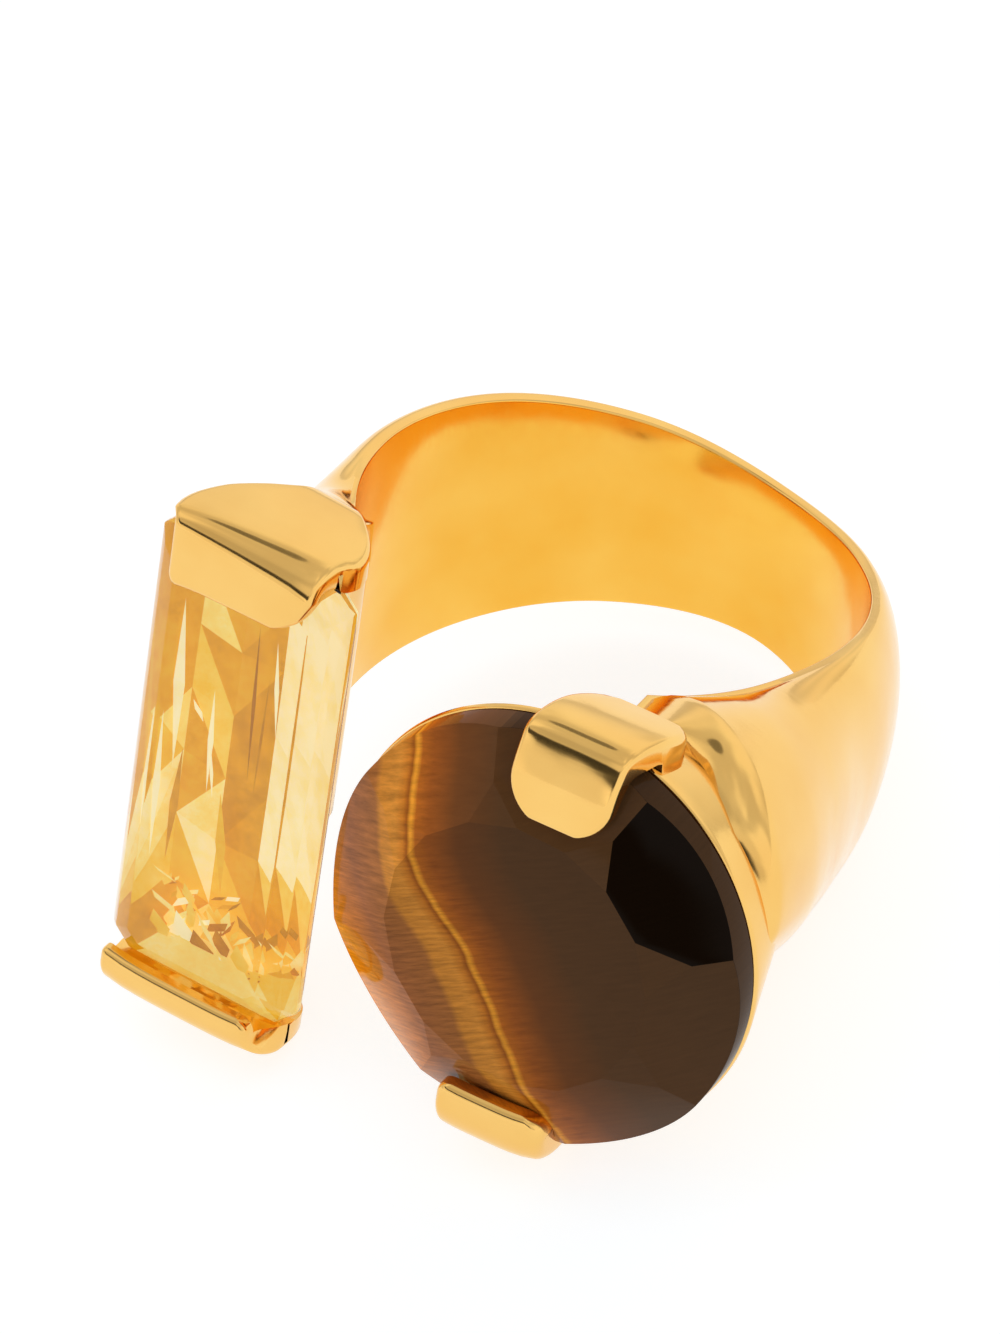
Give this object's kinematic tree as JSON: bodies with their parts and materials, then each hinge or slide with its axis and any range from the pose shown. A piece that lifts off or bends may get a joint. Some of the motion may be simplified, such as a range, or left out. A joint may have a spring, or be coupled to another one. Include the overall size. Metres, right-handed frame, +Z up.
{
  "type": "ring",
  "caption": "Open gemstone ring in polished gold, flared shoulders ending in a folded holder with a pale baguette citrine and an oval cup with a faceted tiger's eye",
  "frame": {"origin": "centre of the finger hole, on its axis, halfway along the plain wall of the band", "axes": "the ring lies on its side on a level surface: +Z is up, the stones face towards -Y with the citrine at -X and the tiger's eye at +X; the finger axis leans about 18 degrees from +Z"},
  "size_m": [0.0243, 0.0265, 0.021],
  "materials": {
    "ring_metal": "polished gold",
    "citrine": "polished, clear pale yellow",
    "tigers_eye": "polished, banded brown and golden tan"
  },
  "bodies": {
    "root": {"ring_metal": "ring_metal", "citrine": "citrine", "tigers_eye": "tigers_eye"}
  },
  "joints": []
}
